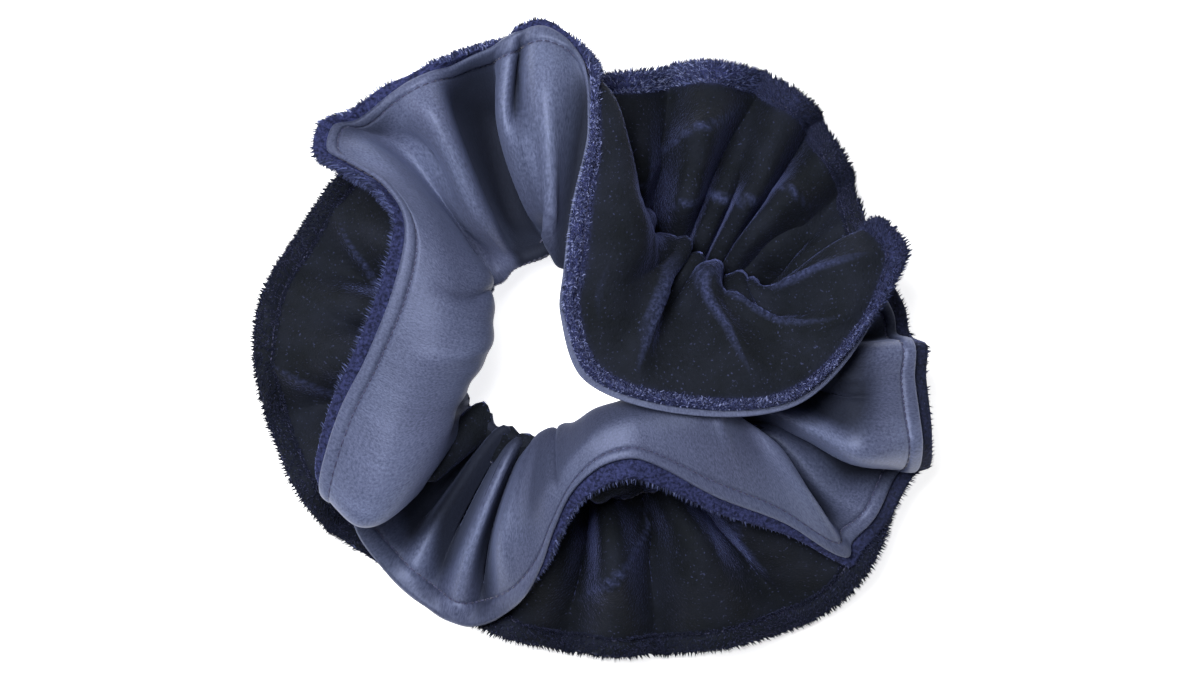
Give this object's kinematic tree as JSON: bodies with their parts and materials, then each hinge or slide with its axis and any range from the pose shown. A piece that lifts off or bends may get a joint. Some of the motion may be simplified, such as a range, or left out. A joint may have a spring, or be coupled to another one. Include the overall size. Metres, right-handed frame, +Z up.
{
  "type": "scrunchie",
  "caption": "Large reversible hair scrunchie: a satin and a velvet strip sewn edge to edge, gathered on flat elastic so that two ruffled wings stand round a hair loop.",
  "frame": {"origin": "middle of the ruffle's outline, on the surface it lies on", "axes": "+Z up through the hair loop, +X along the longer way across the ruffle, towards the half with the velvet pocket"},
  "size_m": [0.1376, 0.1282, 0.0491],
  "materials": {
    "satin": "slate blue polyester satin, soft sheen, fine weave",
    "velvet": "navy stretch velvet, near black in the folds and indigo where the pile catches the light",
    "elastic": "white braided flat elastic",
    "thread": "navy polyester sewing thread"
  },
  "bodies": {
    "left_half": {"satin_strip_left": "satin", "velvet_strip_left": "velvet", "elastic_band_left": "elastic", "upper_topstitch_left": "thread", "lower_topstitch_left": "thread", "upper_edge_seam_left": "thread", "lower_edge_seam_left": "thread", "upper_casing_stitch_left": "thread", "lower_casing_stitch_left": "thread"},
    "right_half": {"satin_strip_right": "satin", "velvet_strip_right": "velvet", "elastic_band_right": "elastic", "upper_topstitch_right": "thread", "lower_topstitch_right": "thread", "upper_edge_seam_right": "thread", "lower_edge_seam_right": "thread", "upper_casing_stitch_right": "thread", "lower_casing_stitch_right": "thread", "elastic_join_stitches": "thread", "strip_end_seam": "thread"}
  },
  "joints": [
    {"name": "stretch", "type": "slide", "parent": "right_half", "child": "left_half", "axis": [-1, 0, 0], "range_m": [0, 0.06], "stiffness_N_per_m": 80}
  ]
}
